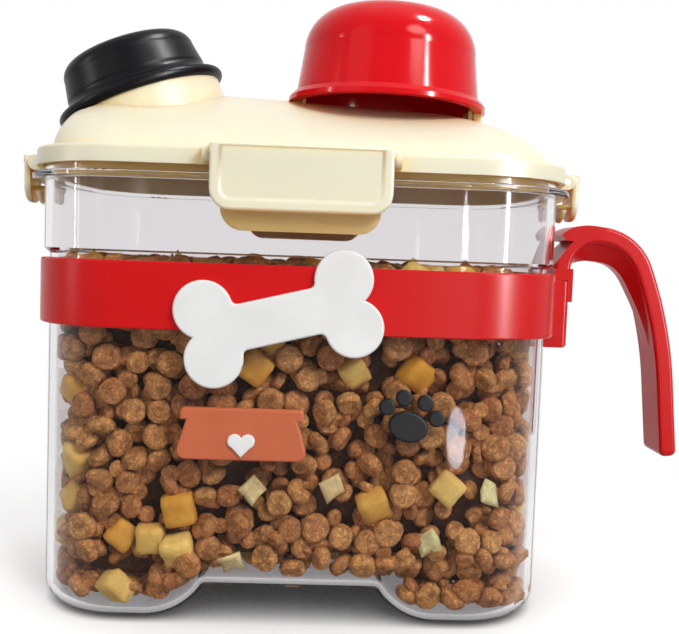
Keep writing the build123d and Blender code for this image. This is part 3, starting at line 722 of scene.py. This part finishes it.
def packing_tree():
    """Tree that packs one kind of piece against the inside of a skin."""
    tree = Tree("food packing")
    piece = tree.input("Piece", "NodeSocketObject")
    finish = tree.input("Finish", "NodeSocketMaterial")
    spacing = tree.input("Spacing", "NodeSocketFloat", 0.0066)
    seed = tree.input("Seed", "NodeSocketInt", 1)
    least = tree.input("Least Share", "NodeSocketFloat", 0.0)
    most = tree.input("Most Share", "NodeSocketFloat", 1.0)
    room = tree.input("Room", "NodeSocketFloat", 0.0)
    half_thickness = tree.input("Half Thickness", "NodeSocketFloat", 0.002)
    half_width = tree.input("Half Width", "NodeSocketFloat", 0.004)
    tilt_most = tree.input("Tilt", "NodeSocketFloat", 1.2)
    depth = tree.input("Depth", "NodeSocketFloat", 0.0)
    scatter = tree.add(
        "GeometryNodeDistributePointsOnFaces",
        {
            "Mesh": tree.start.outputs["Geometry"],
            "Distance Min": spacing,
            "Seed": seed,
            "Density Max": 60000.0,
        },
        distribute_method="POISSON",
    )
    share = tree.random(0.0, 1.0, seed, SHARE_DRAW)
    above = tree.math("GREATER_THAN", share, least)
    below = tree.math("LESS_THAN", share, most)
    chosen = tree.math("MULTIPLY", above, below)
    tilt = tree.random(0.0, tilt_most, seed, TILT_DRAW)
    spin = tree.random(0.0, 2 * math.pi, seed, SPIN_DRAW)
    lean = tree.add("ShaderNodeCombineXYZ", {"X": tilt, "Z": spin})
    euler = tree.add("FunctionNodeEulerToRotation", {"Euler": lean.outputs["Vector"]})
    turned = tree.add(
        "FunctionNodeRotateRotation",
        {"Rotation": scatter.outputs["Rotation"], "Rotate By": euler.outputs["Rotation"]},
        rotation_space="LOCAL",
    )
    keep_turn = tree.add(
        "GeometryNodeStoreNamedAttribute",
        {"Geometry": scatter.outputs["Points"], "Value": turned.outputs["Rotation"], "Name": "turn"},
        data_type="QUATERNION",
        domain="POINT",
    )
    flat = tree.math("MULTIPLY", tree.math("COSINE", tilt), half_thickness)
    edge = tree.math("MULTIPLY", tree.math("SINE", tilt), half_width)
    sink = tree.math("ADD", tree.math("ADD", flat, edge), depth)
    inward = tree.add(
        "ShaderNodeVectorMath",
        {"Vector": scatter.outputs["Normal"], "Scale": tree.math("MULTIPLY", sink, -1.0)},
        operation="SCALE",
    )
    moved = tree.add(
        "GeometryNodeSetPosition",
        {"Geometry": keep_turn.outputs["Geometry"], "Offset": inward.outputs["Vector"]},
    )
    split = tree.add(
        "GeometryNodeSeparateGeometry",
        {"Geometry": moved.outputs["Geometry"], "Selection": chosen},
        domain="POINT",
    )
    near = tree.add("GeometryNodeProximity", {"Target": split.outputs["Inverted"]}, target_element="POINTS")
    crowded = tree.math("LESS_THAN", near.outputs["Distance"], room)
    own = tree.add(
        "GeometryNodeDeleteGeometry",
        {"Geometry": split.outputs["Selection"], "Selection": crowded},
        domain="POINT",
    )
    shape = tree.add("GeometryNodeObjectInfo", {"Object": piece})
    kept_turn = tree.add("GeometryNodeInputNamedAttribute", {"Name": "turn"}, data_type="QUATERNION")
    size = tree.random(0.88, 1.08, seed, SIZE_DRAW)
    placed = tree.add(
        "GeometryNodeInstanceOnPoints",
        {
            "Points": own.outputs["Geometry"],
            "Instance": shape.outputs["Geometry"],
            "Rotation": kept_turn.outputs["Attribute"],
            "Scale": size,
        },
    )
    tone = tree.random(0.0, 1.0, seed, TONE_DRAW)
    toned = tree.add(
        "GeometryNodeStoreNamedAttribute",
        {"Geometry": placed.outputs["Instances"], "Value": tone, "Name": "tone"},
        data_type="FLOAT",
        domain="INSTANCE",
    )
    solid = tree.add("GeometryNodeRealizeInstances", {"Geometry": toned.outputs["Geometry"]})
    surface = {"Geometry": solid.outputs["Geometry"], "Material": finish}
    painted = tree.add("GeometryNodeSetMaterial", surface)
    tree.tree.links.new(painted.outputs["Geometry"], tree.end.inputs["Geometry"])
    return tree


def rest_in_tank(piece):
    """The piece rides on the tank's body and stands for the CAD contents."""
    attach(piece, KEEPER)
    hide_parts("dry_food")


def pack_pieces(tree, name, skin, settings):
    """Run the packing tree on a copy of the skin and keep its plain mesh."""
    carrier = place_object(name, skin.copy())
    modifier = carrier.modifiers.new("packing", "NODES")
    modifier.node_group = tree.tree
    for key, value in settings.items():
        modifier[tree.sockets[key]] = value
    keep_result(carrier, modifier)
    carrier.data.name = name
    rest_in_tank(carrier)


def baked_food(name, dark, pale, grain, roughness, strength, specks, pit):
    """Baked dry food: pitted crumbly bump, pale specks, a tone that differs by piece and painted dark shade
    where pieces stand close.
    """
    shading = Shading(name)
    tone = shading.add("ShaderNodeAttribute", attribute_name="tone").outputs["Fac"]
    crumbs = shading.noise(grain, detail=6.0, roughness=0.75)
    blotch = shading.noise(grain * 2.6, detail=4.0, roughness=0.6)
    fine = shading.noise(grain * 0.75)
    base = shading.ramp(tone, [(0.0, scaled(dark, specks)), (1.0, scaled(pale, specks))])
    pitted = shading.ramp(blotch, [(0.36, (pit, pit * 0.9, pit * 0.82, 1.0)), (0.58, WHITE)])
    flecks = shading.ramp(fine, [(0.53, grey(1.0 / specks)), (0.62, WHITE)])
    for layer in (pitted, flecks):
        base = shading.mix_colours(1.0, base, layer, "MULTIPLY")
    # Painted shade: dark brown where neighbouring pieces stand close.
    colour = shading.painted_nook_shade(0.004, base, scaled(dark, 0.15), closed=0.15, clear=0.75, own=True)
    shading.join(colour, "Base Color")
    shading.rough(crumbs, roughness - 0.1, roughness + 0.15)
    shading.bump(crumbs, strength, grain * 0.6)
    shading.set(Specular_IOR_Level=0.08)
    return shading.material


def sunken_ring(low, high, corner, inset):
    """Across and height values round a sunken face, its lower corners rounded, moved inwards."""
    radius = max(corner - inset, corner * 0.3)
    left, right = low[0] + inset, high[0] - inset
    floor, roof = low[1] + inset, high[1] - inset * 0.2
    ring = []
    for middle, start in ((right - radius, -0.5), (left + radius, -1.0)):
        for step in range(FLAP_CORNER_STEPS + 1):
            share = step / FLAP_CORNER_STEPS
            angle = math.pi * (start + 0.5 * (1.0 - share))
            height = floor + radius + radius * math.sin(angle)
            ring.append((middle + radius * math.cos(angle), height))
    ring.append((left, roof))
    ring.append((right, roof))
    return ring


def sink_face(shape, outward, across, flaps):
    """Replace the flat outer face of a flap by a lip and a face that lies a little below it."""
    reach = max(vertex.co.dot(outward) for vertex in shape.verts)
    level = reach - FLATNESS
    outer = [face for face in shape.faces if all(v.co.dot(outward) > level for v in face.verts)]
    chosen = set(outer)
    edges = [edge for face in outer for edge in face.edges]
    outline = [edge for edge in edges if len(chosen.intersection(edge.link_faces)) == 1]
    widths = [v.co.dot(across) for face in outer for v in face.verts]
    heights = [v.co.z for face in outer for v in face.verts]
    low = (min(widths) + flaps.lip_side, min(heights) + flaps.lip_low)
    high = (max(widths) - flaps.lip_side, max(heights) - flaps.lip_high)
    bmesh.ops.delete(shape, geom=outer, context="FACES")
    rings = []
    for share, drop in FLAP_SLOPE:
        ring = []
        for sideways, height in sunken_ring(low, high, flaps.corner, flaps.slope * share):
            place = across * sideways + outward * (reach - flaps.depth * drop)
            ring.append(shape.verts.new((place.x, place.y, height)))
        rings.append(ring)
    count = len(rings[0])
    rim = [shape.edges.new((rings[0][step], rings[0][(step + 1) % count])) for step in range(count)]
    bmesh.ops.triangle_fill(shape, use_beauty=True, edges=outline + rim, normal=outward)
    for upper, lower in zip(rings, rings[1:]):
        for step in range(count):
            beside = (step + 1) % count
            shape.faces.new((upper[step], upper[beside], lower[beside], lower[step]))
    shape.faces.new(rings[-1])


def lipped_flap(side, outward, across, flaps):
    """Copy of a latch whose outer face has a lip round it, riding on the latch's body."""
    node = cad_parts["latch_" + side]
    shape = bmesh.new()
    shape.from_mesh(node.data)
    bmesh.ops.remove_doubles(shape, verts=shape.verts[:], dist=MERGE_DISTANCE)
    sink_face(shape, outward, across, flaps)
    bmesh.ops.recalc_face_normals(shape, faces=shape.faces[:])
    mesh = mesh_from("flap " + side, shape)
    mesh.set_sharp_from_angle(angle=SHARP_ANGLE)
    mesh.materials.append(node.data.materials[0])
    piece = place_object("lipped_flap_" + side, mesh)
    modifier = piece.modifiers.new("even shading", "WEIGHTED_NORMAL")
    modifier.keep_sharp = True
    keep_result(piece, modifier)
    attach(piece, "flap_" + side)
    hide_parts("latch_" + side)


class KEEPER_OT_flaps(bpy.types.Operator):
    """Give each flap its raised lip"""

    bl_idname = "keeper.flaps"
    bl_label = "Flap Lips"

    def execute(self, context):
        sides = {
            "front": ((0.0, -1.0, 0.0), (1.0, 0.0, 0.0)),
            "back": ((0.0, 1.0, 0.0), (-1.0, 0.0, 0.0)),
            "right": ((1.0, 0.0, 0.0), (0.0, 1.0, 0.0)),
            "left": ((-1.0, 0.0, 0.0), (0.0, -1.0, 0.0)),
        }
        for side, (outward, across) in sides.items():
            lipped_flap(side, Vector(outward), Vector(across), context.scene.keeper_flaps)
        return {"FINISHED"}


def lying(finish, thickness, width, tilt, least=LEAST_SHARE, most=MOST_SHARE, room=0.0, depth=0.0):
    """Inputs of the packing tree for one kind of piece: its finish, its share and how it lies."""
    return {
        "Finish": finish,
        "Least Share": least,
        "Most Share": most,
        "Room": room,
        "Half Thickness": thickness / 2,
        "Half Width": width / 2,
        "Tilt": tilt,
        "Depth": depth,
    }


class KEEPER_OT_food(bpy.types.Operator):
    """Fill the tank with kibble, puffed cubes and dried flakes"""

    bl_idname = "keeper.food"
    bl_label = "Dry Food"

    def execute(self, context):
        food = context.scene.keeper_food
        tree = packing_tree()
        skin = mesh_of("food skin", *food_towers(food, food.wall_gap))
        inner = food_towers(food, food.wall_gap + INNER_DEPTH, top_drop=0.005, lift=0.005)
        deep = mesh_of("food under skin", *inner)
        layers = {
            "wall": (skin, food.seed),
            "fill": (skin, food.seed + FILL_SHIFT),
            "inner": (deep, food.seed + INNER_SHIFT),
        }
        for name, shape, settings, where in self.kinds(food):
            model = place_object("model_" + name, shape)
            for layer in where:
                surface, seed = layers[layer]
                settings.update({"Piece": model, "Spacing": food.spacing, "Seed": seed})
                pack_pieces(tree, f"food_{name}_{layer}", surface, settings)
            bpy.data.objects.remove(model)
        # Painted shade: a dark core inside the food stands for the shade deep between the pieces.
        heart = food_towers(food, inset=0.012, top_drop=0.012, lift=0.009)
        core = place_object("food_core", mesh_of("food core", *heart))
        depths = scaled(food.kibble, 0.16)
        core.data.materials.append(baked_food("painted shade of the food's depths", depths, depths, **KIBBLE_LOOK))
        rest_in_tank(core)
        return {"FINISHED"}

    def kinds(self, food):
        """Name, shape, packing inputs and layers of each kind of piece."""
        kibble = baked_food("kibble", scaled(food.kibble, 0.72), scaled(food.kibble, 1.2), **KIBBLE_LOOK)
        cube = baked_food("puffed cube", scaled(food.cube, 0.8), tuple(food.cube_pale), **CUBE_LOOK)
        flake = baked_food("dried flake", scaled(food.flake, 0.85), scaled(food.flake, 1.1), **FLAKE_LOOK)
        wide, thick = food.kibble_width, food.kibble_thickness
        bit_wide, bit_thick = wide * food.bit_share, thick * food.bit_share
        block, block_thick = food.cube_width, food.cube_width * CUBE_HEIGHT
        whole = kibble_shape(wide, thick, sides=12)
        small = kibble_shape(bit_wide, bit_thick, sides=10)
        puffed = rounded_block("cube", block, block_thick, cuts=3, pinch=0.12, crumple=0.05)
        dried = flake_shape(food.flake_width)
        share = food.cube_share
        whole_lie = lying(kibble, thick, wide, tilt=1.25, least=share, room=0.0085)
        small_lie = lying(kibble, bit_thick, bit_wide, tilt=1.5, depth=0.0035)
        puffed_lie = lying(cube, block_thick, block, tilt=0.6, least=FLAKE_SHARE, most=share)
        dried_lie = lying(flake, FLAKE_CURLED, food.flake_width, tilt=0.6, most=FLAKE_SHARE)
        return [
            ("kibble", whole, whole_lie, ("wall", "inner")),
            ("bits", small, small_lie, ("fill",)),
            ("cubes", puffed, puffed_lie, ("wall",)),
            ("flakes", dried, dried_lie, ("wall",)),
        ]


class KEEPER_OT_stage(bpy.types.Operator):
    """Add the pale floor, the lamps and the camera"""

    bl_idname = "keeper.stage"
    bl_label = "Stage"

    def execute(self, context):
        settings = context.scene.keeper_stage
        self.add_floor(settings)
        self.add_world()
        self.add_lamps()
        self.add_camera(context, settings)
        context.scene.view_settings.view_transform = "Standard"
        return {"FINISHED"}

    def add_floor(self, settings):
        """Large floor: painted and lamp shadow near the keeper, painted pale light through the tank, plain
        white far away.
        """
        mesh = bpy.data.meshes.new("floor")
        corners = [(x * FLOOR_REACH, y * FLOOR_REACH, 0) for x, y in ((-1, -1), (1, -1), (1, 1), (-1, 1))]
        mesh.from_pydata(corners, [], [(0, 1, 2, 3)])
        floor = place_object("floor", mesh)
        shading = Shading("pale floor")
        tree = shading.tree
        shading.set(Roughness=0.9, Specular_IOR_Level=0.0)
        thrown = scaled(settings.floor, settings.floor_bounce)
        bounce = shading.add("ShaderNodeBsdfDiffuse", {"Color": thrown})
        # Painted shadow: the floor's colour darkens where the keeper stands close, beside the lamps' own
        # shadows.
        painted_nook_shade = shading.add("ShaderNodeAmbientOcclusion", {"Distance": settings.contact_reach}, samples=8)
        tones = ((0.05, settings.painted_tunnel_shade), *FLOOR_PAINTED_SHADE)
        painted_floor_shade = shading.ramp(painted_nook_shade.outputs["AO"], [(spot, grey(tone)) for spot, tone in tones])
        pale = shading.add("ShaderNodeMath", {0: painted_floor_shade, 1: settings.floor_gain}, operation="MULTIPLY")
        shading.join(pale.outputs["Value"], "Base Color")
        distance = shading.add("ShaderNodeVectorMath", {0: shading.place}, operation="LENGTH")
        reach = settings.shadow_reach
        span = {"From Min": reach * 0.5, "From Max": reach, "Value": distance.outputs["Value"]}
        away = shading.add("ShaderNodeMapRange", span, interpolation_type="SMOOTHSTEP").outputs["Result"]
        # Painted light: seen through the tank, the floor glows pale over its painted shadow.
        through = shading.add("ShaderNodeLightPath").outputs["Is Transmission Ray"]
        cover = shading.add("ShaderNodeMath", {0: through, 1: settings.painted_tank_light_share}, operation="MULTIPLY")
        # The painted shadow also glows evenly, so part of it shows whatever the lamps do.
        even = shading.add("ShaderNodeEmission", {"Color": painted_floor_shade}).outputs["Emission"]
        white = shading.add("ShaderNodeEmission").outputs["Emission"]
        clear = shading.add("ShaderNodeEmission", {"Strength": settings.painted_tank_light}).outputs["Emission"]
        look = mix_shaders(tree, settings.even_share, shading.surface.outputs["BSDF"], even)
        look = mix_shaders(tree, away, look, white)
        look = mix_shaders(tree, cover.outputs["Value"], look, clear)
        look = mix_shaders(tree, direct_sight(tree), bounce.outputs["BSDF"], look)
        shading.show(look)
        mesh.materials.append(shading.material)

    def add_world(self):
        """White to the camera and in reflections, plain soft light on the keeper."""
        world = bpy.data.worlds.new("studio")
        bpy.context.scene.world = world
        world.use_nodes = True
        tree = world.node_tree
        soft = tree.nodes["Background"]
        soft.inputs["Color"].default_value = WHITE
        soft.inputs["Strength"].default_value = SOFT_LIGHT
        white = add_node(tree, "ShaderNodeBackground", {"Color": WHITE, "Strength": 1.0})
        look = mix_shaders(tree, direct_sight(tree), soft.outputs[0], white.outputs[0])
        tree.links.new(look, tree.nodes["World Output"].inputs["Surface"])

    def add_lamps(self):
        """High soft key, fill and top lamp, and strips and glints that only show as highlights."""
        lamps = [
            ("key", (0.5, -0.75, 0.78), (0.4, 0.4), 8.4, True),
            ("fill", (-0.6, -0.65, 0.5), (0.5, 0.7), 1.2, True),
            ("top", (0.0, -0.1, 1.2), (0.9, 0.9), 1.0, True),
            ("strip", (0.66, -0.64, 0.3), (0.07, 0.6), 34.0, False),
            ("side_strip", (-0.85, -0.3, 0.3), (0.04, 0.5), 2.5, False),
            ("glint_rim", GLINT, (0.0105, 0.035), 0.06, False),
            ("glint_body", GLINT, (0.0075, 0.028), 0.06, False),
            ("glint_heart", GLINT, (0.0045, 0.02), 0.06, False),
            ("long_glint", (0.065, -0.254, 0.1215), (0.003, 0.087), 0.05, False),
        ]
        for name, place, size, power, lights_surfaces in lamps:
            target = Vector((0.0, 0.0, min(place[2], AIM_HEIGHT)))
            self.add_lamp(name, Vector(place), size, power, lights_surfaces, target)
        low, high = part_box("spout_cap")
        cap = (Vector(low) + Vector(high)) / 2
        beam = self.add_lamp("cap_beam", cap + Vector(CAP_BEAM), (0.4, 0.3), 0.7, False, cap)
        beam.spread = math.radians(10.0)

    def add_lamp(self, name, place, size, power, lights_surfaces, target):
        """One soft oval lamp that looks at a target."""
        light = bpy.data.lights.new(name, "AREA")
        light.shape = "ELLIPSE"
        light.size = size[0]
        light.size_y = size[1]
        light.energy = power
        lamp = bpy.data.objects.new(name, light)
        lamp.location = place
        lamp.rotation_euler = (target - place).to_track_quat("-Z", "Y").to_euler()
        lamp.visible_camera = False
        lamp.visible_diffuse = lights_surfaces
        bpy.context.scene.collection.objects.link(lamp)
        return light

    def add_camera(self, context, settings):
        """Camera at the photograph's place, with its turn and lens."""
        data = bpy.data.cameras.new("camera")
        data.sensor_width = 36.0
        data.lens = settings.focal
        data.clip_start = 0.01
        camera = bpy.data.objects.new("camera", data)
        yaw, pitch, roll = settings.yaw, settings.pitch, settings.roll
        ahead = Vector((math.sin(yaw) * math.cos(pitch), math.cos(yaw) * math.cos(pitch), -math.sin(pitch)))
        level = Vector((math.cos(yaw), -math.sin(yaw), 0.0))
        upright = level.cross(ahead)
        right = level * math.cos(roll) + upright * math.sin(roll)
        up = upright * math.cos(roll) - level * math.sin(roll)
        turn = Matrix((right, up, -ahead)).transposed().to_4x4()
        place = tank_middle() + Vector(settings.camera_place)
        camera.matrix_world = Matrix.Translation(place) @ turn
        context.scene.collection.objects.link(camera)
        context.scene.camera = camera


class KEEPER_PT_panel(bpy.types.Panel):
    """Buttons for the keeper's pieces and its stage"""

    bl_label = "Dry Food Keeper"
    bl_idname = "KEEPER_PT_panel"
    bl_space_type = "VIEW_3D"
    bl_region_type = "UI"
    bl_category = "Keeper"

    def draw(self, context):
        for operator in OPERATORS:
            self.layout.operator(operator.bl_idname)


GROUPS = {
    "keeper_colours": KeeperColours,
    "keeper_flaps": KeeperFlaps,
    "keeper_food": KeeperFood,
    "keeper_stage": KeeperStage,
}
OPERATORS = (
    KEEPER_OT_tank,
    KEEPER_OT_band,
    KEEPER_OT_lid,
    KEEPER_OT_flaps,
    KEEPER_OT_cap,
    KEEPER_OT_cup,
    KEEPER_OT_patches,
    KEEPER_OT_food,
    KEEPER_OT_stage,
)


def register():
    for kind in (*GROUPS.values(), *OPERATORS, KEEPER_PT_panel):
        bpy.utils.register_class(kind)
    for name, group in GROUPS.items():
        setattr(bpy.types.Scene, name, bpy.props.PointerProperty(type=group))


def unregister():
    for name in GROUPS:
        delattr(bpy.types.Scene, name)
    for kind in (KEEPER_PT_panel, *reversed(OPERATORS), *reversed(GROUPS.values())):
        bpy.utils.unregister_class(kind)


def main():
    register()
    bpy.ops.keeper.tank()
    bpy.ops.keeper.band()
    bpy.ops.keeper.lid()
    bpy.ops.keeper.flaps()
    bpy.ops.keeper.cap()
    bpy.ops.keeper.cup()
    bpy.ops.keeper.patches()
    bpy.ops.keeper.food()
    bpy.ops.keeper.stage()


if __name__ == "__main__":
    main()
